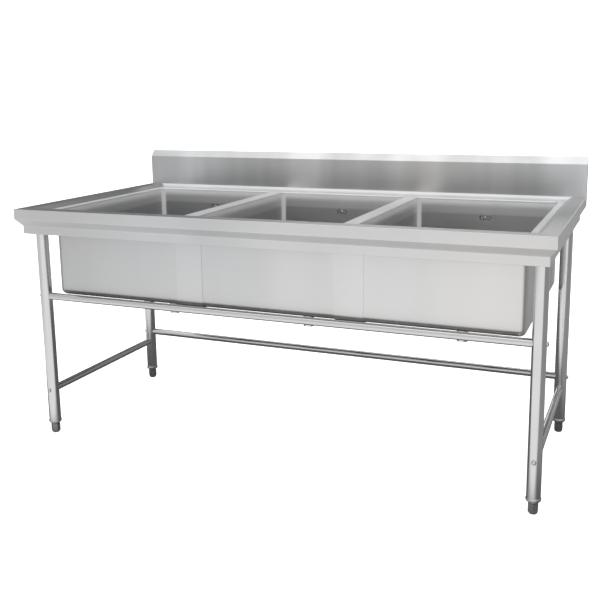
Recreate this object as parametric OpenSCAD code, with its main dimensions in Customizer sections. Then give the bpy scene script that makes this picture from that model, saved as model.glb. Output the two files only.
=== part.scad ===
// Three compartment sink for a restaurant kitchen, in stainless sheet and tube.
// The origin is on the floor under the middle of the sink: +X right, +Y to the wall, +Z up.

/* [Top] */
// Width over the two end aprons
sink_w = 1800; // [1790:5:1850]
// Depth from the front apron to the back of the backsplash
sink_d = 900; // [894:2:930]
// Height of the rim above the floor
rim_z = 825; // [815:5:860]
// Thickness of the sheet that the top, the bowls and the backsplash are pressed from
sheet_t = 1.2; // [1:0.1:1.5]
// Width of the flat raised rim
rim_w = 48; // [44:1:50]
// Level run of the slope from the rim down to the deck
slope_run = 18; // [12:1:20]
// Depth of the deck below the rim
deck_drop = 12; // [8:1:14]
// Height of the upright front face of the apron
face_h = 35; // [30:1:38]
// Height of the undercut below the face
undercut_h = 25; // [20:1:28]
// Distance that the undercut goes in
undercut_in = 20; // [14:1:20]
// Height of the lip below the undercut
lip_h = 21; // [16:1:24]
// Width of the hem folded in under the lip
hem_w = 5; // [3:0.5:5]

/* [Backsplash] */
// Height of the backsplash above the rim
splash_h = 150; // [120:5:250]
// Depth of the backsplash, front sheet to back sheet
splash_d = 25; // [22:1:28]
// Height of the sloping top of the backsplash
splash_slope_h = 28; // [20:1:40]
// Radius of the cove along the foot of the backsplash
cove_r = 18; // [8:1:20]

/* [Bowls] */
// Inside width of one bowl
bowl_w = 508; // [490:2:508]
// Inside length of one bowl, front to back
bowl_d = 706; // [690:2:706]
// Distance between the openings of two bowls
bowl_gap = 49; // [48:1:58]
// Distance from the front of the sink to the inside of the bowls
bowl_front = 105; // [104:1:110]
// Height of the bowl floor above the ground
bowl_floor_z = 515.2; // [513.2:0.2:522]
// Inside radius of the bowl corners
bowl_r = 20; // [14:1:24]
// Width of the cover strip over the gap between two bowls
cover_w = 95; // [80:1:96]

/* [Frame] */
// Outside diameter of a leg tube
leg_od = 42; // [38:1:42]
// Wall of the leg and rail tubes
tube_t = 1.2; // [1:0.1:1.6]
// Distance of a leg axis from the middle of the sink
leg_x = 853; // [850:1:853]
// Front leg axis, measured back from the front of the sink
leg_front = 82; // [78:1:82]
// Rear leg axis, measured back from the front of the sink
leg_rear = 732; // [700:2:760]
// Outside diameter of a rail tube
rail_od = 25; // [22:1:25]
// Height of the front rail, close under the bowls
front_rail_z = 512; // [505:0.5:512]
// Height of the rear rail
rear_rail_z = 206; // [200:1:320]
// Height of the two side rails
side_rail_z = 164.5; // [120:0.5:165]
// Height that each foot can be wound down
foot_travel = 25; // [10:1:30]

/* [Drains] */
// Diameter of the hole in each bowl floor
drain_hole_d = 90; // [88:1:92]
// Outside diameter of the waste tailpiece
tailpiece_od = 38; // [36:1:38]
// Height of the overflow slots above the ground
overflow_z = 752; // [745:1:758]
// Width of an overflow slot
overflow_slot_w = 34; // [30:1:36]
// Height of an overflow slot
overflow_slot_h = 12; // [10:1:13]

/* [Hidden] */
SIDES = ["left", "middle", "right"];
CORNERS = ["front_left", "front_right", "rear_left", "rear_right"];

$fn = 64;
SHEET = [0.80, 0.81, 0.82];
TUBE = [0.74, 0.75, 0.76];
DARK = [0.42, 0.42, 0.43];
RUBBER = [0.16, 0.16, 0.17];
PLASTIC = [0.20, 0.20, 0.21];
past = 1; // how far a cut runs past the face that it opens

// The top and the backsplash
front_y = -sink_d / 2;
back_y = sink_d / 2;
half_w = sink_w / 2;
deck_z = rim_z - deck_drop;
face_z = rim_z - face_h;
under_z = face_z - undercut_h;
lip_z = under_z - lip_h;
splash_y = back_y - splash_d;
splash_z = rim_z + splash_h;
ceiling_z = deck_z - sheet_t;
rim_ceiling_z = rim_z - sheet_t;
rear_hem = 15;
// Shift of a sheet's inner bend for each mm of thickness, on the undercut, rim and top slopes
undercut_bend = (norm([undercut_in, undercut_h]) - undercut_h) / undercut_in;
rim_bend = (norm([slope_run, deck_drop]) - slope_run) / deck_drop;
splash_bend = (norm([splash_d, splash_slope_h]) - splash_slope_h) / splash_d;
splash_bend_top = (norm([splash_d, splash_slope_h]) + splash_slope_h) / splash_d;

// The bowls
bowl_step = bowl_w + bowl_gap;
BOWL_X = [-bowl_step, 0, bowl_step];
bowl_y0 = front_y + bowl_front;
bowl_y1 = bowl_y0 + bowl_d;
bowl_y = (bowl_y0 + bowl_y1) / 2;
bowl_under_z = bowl_floor_z - sheet_t;
bowl_back_y = bowl_y1 + sheet_t;

// The channels under the deck
channel_t = 1.5;
channel_z = face_z - 5;
front_channel_y = [front_y + 40, front_y + 99];
side_channel_x = [leg_x - 38, leg_x + 17];
rear_channel_y = [bowl_back_y + 3.8, splash_y - 5];

// The legs, rails and feet
leg_r = leg_od / 2;
leg_bore_r = leg_r - tube_t;
rail_r = rail_od / 2;
rail_bore_r = rail_r - tube_t;
LEG_XY = [
    for (y = [front_y + leg_front, front_y + leg_rear], x = [-leg_x, leg_x]) [x, y]
];
leg_y0 = LEG_XY[0][1];
leg_y1 = LEG_XY[2][1];
flange_t = 3;
leg_top_z = channel_z - flange_t;
insert_z = [40, 52];
// Each rail end: leg axis x and y, height, and the way that its bolt head faces
RAIL_ENDS = [
    [-leg_x, leg_y0, front_rail_z, 180], [leg_x, leg_y0, front_rail_z, 0],
    [-leg_x, leg_y1, rear_rail_z, 180], [leg_x, leg_y1, rear_rail_z, 0],
    [-leg_x, leg_y0, side_rail_z, 270], [-leg_x, leg_y1, side_rail_z, 90],
    [leg_x, leg_y0, side_rail_z, 270], [leg_x, leg_y1, side_rail_z, 90]
];
bolt_r = 4;
screw_z = leg_top_z - 17;
screw_r = 3;
screw_h = 7;
plug_in = leg_r + 23; // how far the rail plugs and bolts reach in from a leg axis
stem_r = 6;
fit = 0.05; // radial clearance of a running fit

// The drains and overflows
tail_r = tailpiece_od / 2;
drain_hole_r = drain_hole_d / 2;
cup_r = 43;
cup_bore_r = 41.5;
cup_floor_z = bowl_floor_z - 38.2;
socket_r = 24; // socket under the cup that takes the tailpiece
socket_low = cup_floor_z - 33;
gasket_h = 4;
locknut_h = 9;
spout_z = cup_floor_z + 12;
pipe_r = 10;
spigot_r = 8;
pipe_y = bowl_back_y + 21.8;
pipe_bend_r = 40;
plate_t = 2;

// ---- Helpers ----

// Extrudes an outline drawn as (x, z) from y0 to y1
module along_y(y0, y1) {
    translate([0, y1, 0]) rotate([90, 0, 0]) linear_extrude(y1 - y0) children();
}

// Extrudes an outline drawn as (y, z) from x0 to x1
module along_x(x0, x1) {
    translate([x0, 0, 0]) rotate([90, 0, 90]) linear_extrude(x1 - x0) children();
}

// A box between two corners
module block(low, high) {
    translate(low) cube(high - low);
}

// A tube or ring standing on z0, with an optional bore
module ring(outer_r, bore_r, z0, z1) {
    difference() {
        translate([0, 0, z0]) cylinder(h = z1 - z0, r = outer_r);
        if (bore_r > 0) {
            translate([0, 0, z0 - past]) cylinder(h = z1 - z0 + 2 * past, r = bore_r);
        }
    }
}

// A rectangle centred on the origin with four round corners
module rounded_rect(w, d, r) {
    square([w - 2 * r, d], center = true);
    square([w, d - 2 * r], center = true);
    for (x = [-1, 1], y = [-1, 1]) {
        translate([x * (w / 2 - r), y * (d / 2 - r)]) circle(r);
    }
}

// A rectangle from a0 to a1 and z0 to z1 whose two bottom corners are round
module round_bottom(a0, a1, z0, z1, r) {
    translate([a0 + r, z0]) square([a1 - a0 - 2 * r, z1 - z0]);
    translate([a0, z0 + r]) square([a1 - a0, z1 - z0 - r]);
    for (a = [a0 + r, a1 - r]) {
        translate([a, z0 + r]) circle(r);
    }
}

// A slot outline with two half-round ends
module stadium(w, h) {
    square([w - h, h], center = true);
    for (x = [-1, 1]) {
        translate([x * (w - h) / 2, 0]) circle(h / 2);
    }
}

function mirrored(points) = [for (i = [len(points) - 1:-1:0]) [-points[i][0], points[i][1]]];

// ---- Top and backsplash ----

// Right half of the apron section, inset by t: face, undercut and lip
function apron(edge, t, top) = [
    [edge - undercut_in - t, lip_z + t],
    [edge - undercut_in - t, under_z + undercut_bend * t],
    [edge - t, face_z + undercut_bend * t],
    [edge - t, top]
];

// The part of an inner apron section that passes the folded hem
function hem_way(edge) = [
    [edge - undercut_in - hem_w, lip_z - past],
    [edge - undercut_in - hem_w, lip_z + sheet_t]
];

// Block inside the apron, t in from its outer faces; the inner one is open below and behind
module apron_block(t) {
    inner = t > 0;
    top = rim_z - t;
    rear = inner ? back_y + past : back_y;
    side = inner ? concat(hem_way(half_w), apron(half_w, t, top)) : apron(half_w, t, top);
    front = inner ? concat(hem_way(-front_y), apron(-front_y, t, top)) : apron(-front_y, t, top);
    foot = inner ? lip_z - past : lip_z;
    intersection() {
        along_y(front_y, rear) polygon(concat(side, mirrored(side)));
        along_x(-half_w, half_w) {
            polygon(concat(mirrored(front), [[rear, foot], [rear, top]]));
        }
    }
}

// The recess in the top, grown by t to give the underside of the sheet
module recess(t) {
    side = [
        [half_w - rim_w - slope_run + rim_bend * t, deck_z - t],
        [half_w - rim_w + rim_bend * t, rim_z - t],
        [half_w - rim_w + rim_bend * t, rim_z + past]
    ];
    front = [
        [-front_y - rim_w - slope_run + rim_bend * t, deck_z - t],
        [-front_y - rim_w + rim_bend * t, rim_z - t],
        [-front_y - rim_w + rim_bend * t, rim_z + past]
    ];
    rear = t > 0 ? back_y + 2 * past : splash_y;
    intersection() {
        along_y(front_y, rear) polygon(concat(side, mirrored(side)));
        along_x(-half_w, half_w) {
            polygon(concat(mirrored(front), [[rear, deck_z - t], [rear, rim_z + past]]));
        }
    }
}

module sink_top() {
    color(SHEET) {
        difference() {
            apron_block(0);
            recess(0);
            difference() {
                apron_block(sheet_t);
                recess(sheet_t);
            }
            block([-half_w + sheet_t, splash_y, ceiling_z - past],
                  [half_w - sheet_t, back_y + past, rim_z + past]);
            for (x = BOWL_X) {
                translate([x, bowl_y, ceiling_z - past]) {
                    linear_extrude(sheet_t + 2 * past) rounded_rect(bowl_w, bowl_d, bowl_r);
                }
            }
        }
        cove();
    }
}

// Filled cove between the deck and the backsplash
module cove() {
    reach = half_w - rim_w - slope_run - 0.1;
    difference() {
        block([-reach, splash_y - cove_r, deck_z], [reach, splash_y, deck_z + cove_r]);
        translate([-half_w, splash_y - cove_r, deck_z + cove_r]) {
            rotate([0, 90, 0]) cylinder(h = sink_w, r = cove_r);
        }
    }
}

module backsplash() {
    t = sheet_t;
    section = [
        [splash_y, ceiling_z],
        [splash_y, splash_z - splash_slope_h],
        [back_y, splash_z],
        [back_y, lip_z],
        [back_y - rear_hem, lip_z],
        [back_y - rear_hem, lip_z + t],
        [back_y - t, lip_z + t],
        [back_y - t, splash_z - t * splash_bend_top],
        [splash_y + t, splash_z - splash_slope_h - t * splash_bend],
        [splash_y + t, ceiling_z]
    ];
    side = concat(hem_way(half_w), apron(half_w, t, splash_z + past));
    color(SHEET) {
        intersection() {
            along_x(-half_w + t, half_w - t) polygon(section);
            along_y(splash_y - past, back_y + past) polygon(concat(side, mirrored(side)));
        }
    }
}

// End cap that closes one end of the backsplash; x is the left face of its sheet
module backsplash_end(x) {
    section = [
        [splash_y, rim_z],
        [splash_y, splash_z - splash_slope_h],
        [back_y, splash_z],
        [back_y, rim_z]
    ];
    color(SHEET) along_x(x, x + sheet_t) polygon(section);
}

// ---- Bowls ----

// Block with the outline of one bowl, grown by t, open upwards to the given height
module bowl_block(t, top) {
    half = bowl_w / 2 + t;
    low = bowl_floor_z - t;
    intersection() {
        translate([0, bowl_y, low]) {
            linear_extrude(top - low) rounded_rect(2 * half, bowl_d + 2 * t, bowl_r + t);
        }
        along_y(bowl_y0 - t, bowl_y1 + t) round_bottom(-half, half, low, top, bowl_r + t);
        along_x(-half, half) round_bottom(bowl_y0 - t, bowl_y1 + t, low, top, bowl_r + t);
    }
}

module bowl(x) {
    color(SHEET) translate([x, 0, 0]) {
        difference() {
            bowl_block(sheet_t, ceiling_z);
            bowl_block(0, ceiling_z + past);
            translate([0, bowl_y, bowl_under_z - past]) {
                cylinder(h = sheet_t + 2 * past, r = drain_hole_r);
            }
            translate([0, 0, overflow_z]) {
                along_y(bowl_y1 - past, bowl_back_y + past) {
                    stadium(overflow_slot_w, overflow_slot_h);
                }
            }
        }
    }
}

// Strip that closes the gap between two bowls at the front and turns in under them
module bowl_cover(x) {
    bend_y = bowl_y0 + bowl_r;
    bend_z = bowl_floor_z + bowl_r;
    inner_r = bowl_r + sheet_t;
    outer_r = inner_r + sheet_t;
    turn_in = 12;
    color(SHEET) along_x(x - cover_w / 2, x + cover_w / 2) {
        translate([bend_y - outer_r, bend_z]) square([sheet_t, ceiling_z - bend_z]);
        intersection() {
            difference() {
                translate([bend_y, bend_z]) circle(outer_r);
                translate([bend_y, bend_z]) circle(inner_r);
            }
            translate([bend_y - outer_r - past, bend_z - outer_r - past]) square(outer_r + past);
        }
        translate([bend_y, bend_z - outer_r]) square([turn_in, sheet_t]);
    }
}

// ---- Channels under the deck ----

// Channel that opens upwards; heights are the tops of its low-side and high-side walls
module channel_x(x, y, low_top, high_top) {
    t = channel_t;
    color(TUBE) {
        block([-x, y[0], channel_z], [x, y[1], channel_z + t]);
        block([-x, y[0], channel_z], [x, y[0] + t, low_top]);
        block([-x, y[1] - t, channel_z], [x, y[1], high_top]);
    }
}

module side_channel() {
    t = channel_t;
    x = side_channel_x;
    y = [front_channel_y[1], splash_y - 5];
    color(TUBE) {
        block([x[0], y[0], channel_z], [x[1], y[1], channel_z + t]);
        block([x[0], y[0], channel_z], [x[0] + t, y[1], ceiling_z]);
        block([x[1] - t, y[0], channel_z], [x[1], y[1], rim_ceiling_z]);
    }
}

// ---- Legs, rails and feet ----

// Puts children at a rail end, with +X along the way that the bolt head faces
module at_rail_end(end) {
    translate([end[0], end[1], end[2]]) rotate([0, 0, end[3]]) children();
}

module leg(corner) {
    color(TUBE) difference() {
        translate([corner[0], corner[1], 0]) ring(leg_r, leg_bore_r, insert_z[1], leg_top_z);
        for (end = RAIL_ENDS) {
            if (end[0] == corner[0] && end[1] == corner[1]) {
                at_rail_end(end) {
                    translate([-leg_r - past, 0, 0]) rotate([0, 90, 0]) {
                        cylinder(h = leg_od + 2 * past, r = bolt_r + 0.3);
                    }
                }
            }
        }
    }
}

// Socket under the channel: a flange, and a collar that the leg goes into
module leg_socket(corner) {
    collar_r = leg_r + 2.4;
    collar_h = 34;
    flange_r = leg_r + 3.5;
    color(DARK) translate([corner[0], corner[1], 0]) difference() {
        union() {
            ring(flange_r, 0, leg_top_z, channel_z);
            ring(collar_r, leg_r + fit, leg_top_z - collar_h, leg_top_z);
        }
        translate([0, 0, screw_z]) rotate([0, corner[0] > 0 ? -90 : 90, 0]) {
            cylinder(h = collar_r + past, r = screw_r + fit);
        }
    }
}

// Set screws that clamp the legs in their sockets
module socket_screws() {
    color(DARK) for (corner = LEG_XY) {
        translate([corner[0], corner[1], screw_z]) rotate([0, corner[0] > 0 ? -90 : 90, 0]) {
            translate([0, 0, leg_r]) cylinder(h = screw_h, r = screw_r);
        }
    }
}

// Rail between two leg axes, coped to fit against the round legs
module rail(from, to) {
    run = to - from;
    length = norm(run);
    color(TUBE) difference() {
        translate(from) rotate([0, 0, atan2(run[1], run[0])]) rotate([0, 90, 0]) {
            ring(rail_r, rail_bore_r, 0, length);
        }
        for (p = [from, to]) {
            translate([p[0], p[1], p[2] - leg_od]) cylinder(h = 2 * leg_od, r = leg_r);
        }
    }
}

// Threaded plugs in the ends of the rails
module rail_end_plugs() {
    color(DARK) for (end = RAIL_ENDS) {
        at_rail_end(end) rotate([0, -90, 0]) {
            ring(rail_bore_r - fit, bolt_r + fit, leg_r + 3, plug_in);
        }
    }
}

// Bolts through the legs into the rail plugs, with low domed heads
module rail_bolts() {
    head_r = 7;
    foot_z = leg_r - 1.4;
    edge = leg_r + 2;
    dome = 4;
    dome_r = (head_r * head_r + dome * dome) / (2 * dome);
    color(DARK) for (end = RAIL_ENDS) {
        at_rail_end(end) rotate([0, 90, 0]) {
            difference() {
                union() {
                    translate([0, 0, foot_z]) cylinder(h = edge - foot_z, r = head_r);
                    intersection() {
                        translate([0, 0, edge + dome - dome_r]) sphere(dome_r);
                        translate([0, 0, edge]) cylinder(h = dome + past, r = head_r);
                    }
                }
                rotate([0, 90, 0]) cylinder(h = leg_od, r = leg_r, center = true);
            }
            translate([0, 0, -plug_in]) cylinder(h = plug_in + leg_r + 0.5, r = bolt_r);
        }
    }
}

// Bar that the bowls rest on, behind the front rail
module bowl_support_bar() {
    bar_h = 12;
    cover_under_z = bowl_under_z - sheet_t;
    bar_y = [bowl_y0 - 10, bowl_y0 + bowl_r];
    bar_z = [cover_under_z - bar_h, cover_under_z];
    half = 790;
    color(DARK) block([-half, bar_y[0], bar_z[0]], [half, bar_y[1], bar_z[1]]);
}

// Insert in the foot of a leg: a beaded collar and a plug bored for the foot's stem
module foot_insert(corner) {
    bead_r = 6.5;
    bead_out = 2; // how far the bead stands out past the leg
    plug_h = 32;
    middle = (insert_z[0] + insert_z[1]) / 2;
    depth = insert_z[1] - insert_z[0];
    height = depth + plug_h;
    color(DARK) translate([corner[0], corner[1], 0]) difference() {
        union() {
            ring(leg_r, 0, insert_z[0], insert_z[1]);
            rotate_extrude() intersection() {
                translate([leg_r + bead_out - bead_r, middle]) circle(bead_r);
                translate([0, insert_z[0]]) square([leg_r + bead_r, depth]);
            }
            ring(leg_bore_r - fit, 0, insert_z[1], insert_z[1] + plug_h);
        }
        translate([0, 0, insert_z[0] - past]) cylinder(h = height + 2 * past, r = stem_r + fit);
    }
}

// Adjustable foot: a six-sided body that narrows at the floor, a neck, and a threaded stem
module foot(corner) {
    hex_r = 16.2;
    hex_top = 34;
    tip_r = 11;
    tip_h = 8;
    neck_r = 15.5;
    neck_top = insert_z[0] - 0.3;
    stem_top = insert_z[1] + 40;
    color(DARK) translate([corner[0], corner[1], 0]) {
        intersection() {
            rotate([0, 0, 30]) cylinder(h = hex_top, r = hex_r, $fn = 6);
            union() {
                cylinder(h = tip_h, r1 = tip_r, r2 = hex_r + 1);
                ring(hex_r + 1, 0, tip_h, hex_top);
            }
        }
        ring(neck_r, 0, hex_top, neck_top);
        ring(stem_r, 0, tip_h, stem_top);
    }
}

// ---- Drains ----

module drain_body(x) {
    flange_r = 56;
    flange_top = bowl_floor_z + 1.8;
    outlet_r = 17.5;
    color(TUBE) translate([x, bowl_y, 0]) difference() {
        union() {
            ring(flange_r, 0, bowl_floor_z, flange_top);
            ring(cup_r, 0, cup_floor_z, bowl_floor_z);
            ring(socket_r, 0, socket_low, cup_floor_z);
            translate([0, cup_bore_r - 0.5, spout_z]) rotate([-90, 0, 0]) ring(spigot_r, 0, 0, 21);
        }
        translate([0, 0, cup_floor_z + 2]) cylinder(h = 60, r = cup_bore_r);
        translate([0, 0, cup_floor_z - 14]) cylinder(h = 30, r = outlet_r);
        translate([0, 0, socket_low - past]) cylinder(h = 20 + past, r = tail_r + 0.1);
        translate([0, cup_bore_r - 2, spout_z]) rotate([-90, 0, 0]) cylinder(h = 30, r = 6);
    }
}

module drain_gaskets() {
    color(RUBBER) for (x = BOWL_X) {
        translate([x, bowl_y, 0]) ring(52, cup_r + 0.2, bowl_under_z - gasket_h, bowl_under_z);
    }
}

module drain_locknuts() {
    high = bowl_under_z - gasket_h;
    color(TUBE) for (x = BOWL_X) {
        translate([x, bowl_y, 0]) ring(53, cup_r + 0.1, high - locknut_h, high);
    }
}

module tailpiece_nuts() {
    nut_r = 29;
    color(TUBE) for (x = BOWL_X) {
        translate([x, bowl_y, 0]) {
            ring(nut_r, socket_r + 0.1, socket_low - 5, socket_low + 13);
            ring(nut_r, tail_r + 0.3, socket_low - 8, socket_low - 5);
        }
    }
}

// Waste tailpiece: 50 mm of plain tube stands clear for the waste pipe
module tailpiece(x) {
    low = cup_floor_z - 93;
    color(TUBE) translate([x, bowl_y, 0]) difference() {
        union() {
            ring(tail_r, 0, low, low + 50);
            ring(tail_r - 0.4, 0, low + 50, low + 79.5);
        }
        translate([0, 0, low - past]) cylinder(h = 90, r = tail_r - 1.7);
    }
}

// Lift-out strainer basket with a knob on a post
module basket(x) {
    floor_z = cup_floor_z + 13;
    rest_z = bowl_floor_z + 2.3;
    hole_count = 6;
    section = [
        [0, floor_z], [38, floor_z], [38, rest_z], [47, rest_z], [47, rest_z + 1],
        [37, rest_z + 1], [37, floor_z + 1], [3, floor_z + 1], [3, rest_z + 1.5],
        [9, rest_z + 1.5], [9, rest_z + 7.5], [0, rest_z + 7.5]
    ];
    color(TUBE) translate([x, bowl_y, 0]) difference() {
        rotate_extrude() polygon(section);
        for (i = [0:hole_count - 1]) {
            rotate([0, 0, i * 360 / hole_count]) translate([20, 0, floor_z - past]) {
                cylinder(h = 1 + 2 * past, r = 5);
            }
        }
    }
}

// ---- Overflows ----

module overflow_plate(x) {
    hole_r = 4.8;
    color(TUBE) translate([x, 0, overflow_z]) along_y(bowl_y1 - plate_t, bowl_y1) {
        difference() {
            stadium(overflow_slot_w + 9, overflow_slot_h + 5);
            for (side = [-1, 1]) {
                translate([side * 11, 0]) circle(hole_r);
            }
            circle(2.6);
        }
    }
}

module overflow_screws() {
    head_r = 4.5;
    dome = 2;
    dome_r = (head_r * head_r + dome * dome) / (2 * dome);
    color(DARK) for (x = BOWL_X) {
        translate([x, bowl_y1 - plate_t, overflow_z]) rotate([90, 0, 0]) {
            intersection() {
                translate([0, 0, dome - dome_r]) sphere(dome_r);
                cylinder(h = dome + past, r = head_r);
            }
            translate([0, 0, -26]) cylinder(h = 26.1, r = 2.5);
        }
    }
}

// Elbow on the back of a bowl that collects the overflow and turns it down
module overflow_elbow(x) {
    wall = 2;
    box = [48, 34, 24];
    color(PLASTIC) translate([x, bowl_back_y, overflow_z]) difference() {
        union() {
            translate([-box[0] / 2, 0, -box[2] / 2]) cube(box);
            translate([0, pipe_y - bowl_back_y, -box[2] / 2 - 15]) cylinder(h = 16, r = spigot_r);
        }
        difference() {
            translate([wall - box[0] / 2, -past, wall - box[2] / 2]) {
                cube([box[0] - 2 * wall, box[1] - wall + past, box[2] - 2 * wall]);
            }
            rotate([-90, 0, 0]) cylinder(h = box[1], r = 5.5);
        }
        rotate([-90, 0, 0]) translate([0, 0, -past]) cylinder(h = 28, r = 2.55);
        translate([0, pipe_y - bowl_back_y, -box[2] / 2 - 16]) cylinder(h = 17, r = 6);
    }
}

// Rigid pipe from an overflow elbow down and under the bowl to the drain
module overflow_pipe(x) {
    top = overflow_z - 13;
    bend_z = spout_z + pipe_bend_r;
    bore = spigot_r + fit;
    color(PLASTIC) translate([x, 0, 0]) {
        translate([0, pipe_y, 0]) ring(pipe_r, bore, bend_z, top);
        translate([0, pipe_y - pipe_bend_r, bend_z]) rotate([0, 90, 0]) {
            rotate_extrude(angle = 90) translate([pipe_bend_r, 0]) difference() {
                circle(pipe_r);
                circle(bore);
            }
        }
        translate([0, pipe_y - pipe_bend_r, spout_z]) rotate([90, 0, 0]) {
            ring(pipe_r, bore, 0, pipe_y - pipe_bend_r - bowl_y - 50);
        }
    }
}

// ---- The assembly ----

sink_top();
backsplash();
backsplash_end(-half_w);  // backsplash_end_left
backsplash_end(half_w - sheet_t);  // backsplash_end_right

union() {  // front_channel
    channel_x(side_channel_x[1] + 4, front_channel_y, rim_ceiling_z, ceiling_z);
}
union() {  // rear_channel
    channel_x(side_channel_x[0], rear_channel_y, ceiling_z, ceiling_z);
}
mirror([1, 0, 0]) side_channel();  // left_channel
side_channel();  // right_channel

union() {  // front_rail
    rail([-leg_x, leg_y0, front_rail_z], [leg_x, leg_y0, front_rail_z]);
}
union() {  // rear_rail
    rail([-leg_x, leg_y1, rear_rail_z], [leg_x, leg_y1, rear_rail_z]);
}
union() {  // left_rail
    rail([-leg_x, leg_y0, side_rail_z], [-leg_x, leg_y1, side_rail_z]);
}
union() {  // right_rail
    rail([leg_x, leg_y0, side_rail_z], [leg_x, leg_y1, side_rail_z]);
}
bowl_support_bar();
rail_end_plugs();
rail_bolts();
socket_screws();

bowl_cover(-bowl_step / 2);  // bowl_cover_left
bowl_cover(bowl_step / 2);  // bowl_cover_right
drain_gaskets();
drain_locknuts();
tailpiece_nuts();
overflow_screws();

for (i = [0:len(CORNERS) - 1]) {
    leg(LEG_XY[i]);
    leg_socket(LEG_XY[i]);
    foot_insert(LEG_XY[i]);
    foot(LEG_XY[i]);
}

for (i = [0:len(SIDES) - 1]) {
    bowl(BOWL_X[i]);
    drain_body(BOWL_X[i]);
    tailpiece(BOWL_X[i]);
    basket(BOWL_X[i]);
    overflow_plate(BOWL_X[i]);
    overflow_elbow(BOWL_X[i]);
    overflow_pipe(BOWL_X[i]);
}
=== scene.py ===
# Three compartment sink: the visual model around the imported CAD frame.
# Lengths are in millimetres until a mesh is made, and MM turns them into metres.
import math

import bmesh
import bpy
from mathutils import Matrix, Vector


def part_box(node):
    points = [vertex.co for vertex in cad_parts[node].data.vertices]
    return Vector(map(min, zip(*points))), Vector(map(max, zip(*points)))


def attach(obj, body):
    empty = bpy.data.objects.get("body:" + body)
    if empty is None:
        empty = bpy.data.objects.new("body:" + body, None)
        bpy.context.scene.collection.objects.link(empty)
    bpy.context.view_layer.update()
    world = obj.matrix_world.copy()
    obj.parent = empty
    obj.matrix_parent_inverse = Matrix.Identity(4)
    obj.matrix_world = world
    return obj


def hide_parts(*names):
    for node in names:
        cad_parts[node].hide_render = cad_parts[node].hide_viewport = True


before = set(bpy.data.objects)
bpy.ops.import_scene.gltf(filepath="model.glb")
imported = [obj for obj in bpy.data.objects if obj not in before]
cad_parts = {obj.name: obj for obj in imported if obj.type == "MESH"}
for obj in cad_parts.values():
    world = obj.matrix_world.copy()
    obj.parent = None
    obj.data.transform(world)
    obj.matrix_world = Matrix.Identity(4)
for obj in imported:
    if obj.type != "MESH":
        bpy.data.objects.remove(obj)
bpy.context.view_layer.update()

MM = 0.001
ROOT = "root"
SIDES = ["left", "middle", "right"]
CORNERS = ["front_left", "front_right", "rear_left", "rear_right"]


def box_mm(node):
    """Lowest and highest corner of a CAD node, in millimetres."""
    low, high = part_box(node)
    return low / MM, high / MM


def middle(node):
    """Middle of a CAD node's box, in millimetres."""
    low, high = box_mm(node)
    return (low + high) / 2


# ---- Sizes, from the frame where it has them ----

TOP_LOW, TOP_HIGH = box_mm("sink_top")
SPLASH_LOW, SPLASH_HIGH = box_mm("backsplash")
SHEET = 1.2          # thickness of every pressed sheet
RIM_WIDTH = 48.0     # flat raised rim
SLOPE_RUN = 18.0     # from the rim down to the deck
DECK_DROP = 12.0
FACE = 35.0          # upright face of the apron
UNDERCUT_IN = 20.0   # the apron slopes in by this below its face
UNDERCUT_HEIGHT = 25.0
HEM = 5.0            # fold along the foot of the apron
COVE_RADIUS = 18.0   # from the deck up to the backsplash
SPLASH_SLOPE = 28.0  # height of the sloping top of the backsplash
BOWL_RADIUS = 20.0
OPENING_FOLD = 4.0   # fold between the deck and a bowl
BOWL_FALL = 1.0      # fall of a bowl floor to its drain
CORNER_STEPS = 10    # flats in each round corner of a bowl or an opening
LEG_RADIUS = 21.0
RAIL_RADIUS = 12.5
TUBE_WALL = 1.2
MERGE = 0.002        # corners of neighbouring faces closer than this are joined
SAME = 0.0001        # corners of one face closer than this are one
DECK_Z = TOP_HIGH.z - DECK_DROP
SPLASH_Y = SPLASH_LOW.y
HALF_WIDTH = TOP_HIGH.x


# ---- Geometry helpers ----

def rounded(points, radii, steps=5):
    """A 2-D path through points whose inner corners are arcs of the given radii."""
    path = [Vector(points[0])]
    for before, corner, after, radius in zip(points, points[1:], points[2:], radii):
        corner = Vector(corner)
        u = (Vector(before) - corner).normalized()
        v = (Vector(after) - corner).normalized()
        half = u.angle(v) / 2
        centre = corner + (u + v).normalized() * (radius / math.sin(half))
        start = corner + u * (radius / math.tan(half)) - centre
        turn = math.pi - 2 * half
        sign = 1 if u.x * v.y - u.y * v.x < 0 else -1
        for i in range(steps + 1):
            angle = sign * turn * i / steps
            cos, sin = math.cos(angle), math.sin(angle)
            step = Vector((start.x * cos - start.y * sin, start.x * sin + start.y * cos))
            path.append(centre + step)
    path.append(Vector(points[-1]))
    return path


def rounded_rect(x, y, width, depth, radius):
    """Counter-clockwise outline; each corner is an arc of CORNER_STEPS + 1 points."""
    points = []
    for quarter, (sx, sy) in enumerate([(1, 1), (-1, 1), (-1, -1), (1, -1)]):
        cx = x + sx * (width / 2 - radius)
        cy = y + sy * (depth / 2 - radius)
        for i in range(CORNER_STEPS + 1):
            angle = math.pi / 2 * (quarter + i / CORNER_STEPS)
            points.append((cx + radius * math.cos(angle), cy + radius * math.sin(angle)))
    return points


def circle(around):
    """The angles of the points of a ring."""
    return [2 * math.pi * i / around for i in range(around)]


def six_sided(radius, angle):
    """Distance from the middle of a hexagon to its edge, in one direction."""
    return radius * math.cos(math.pi / 6) / math.cos((angle % (math.pi / 3)) - math.pi / 6)


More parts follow.
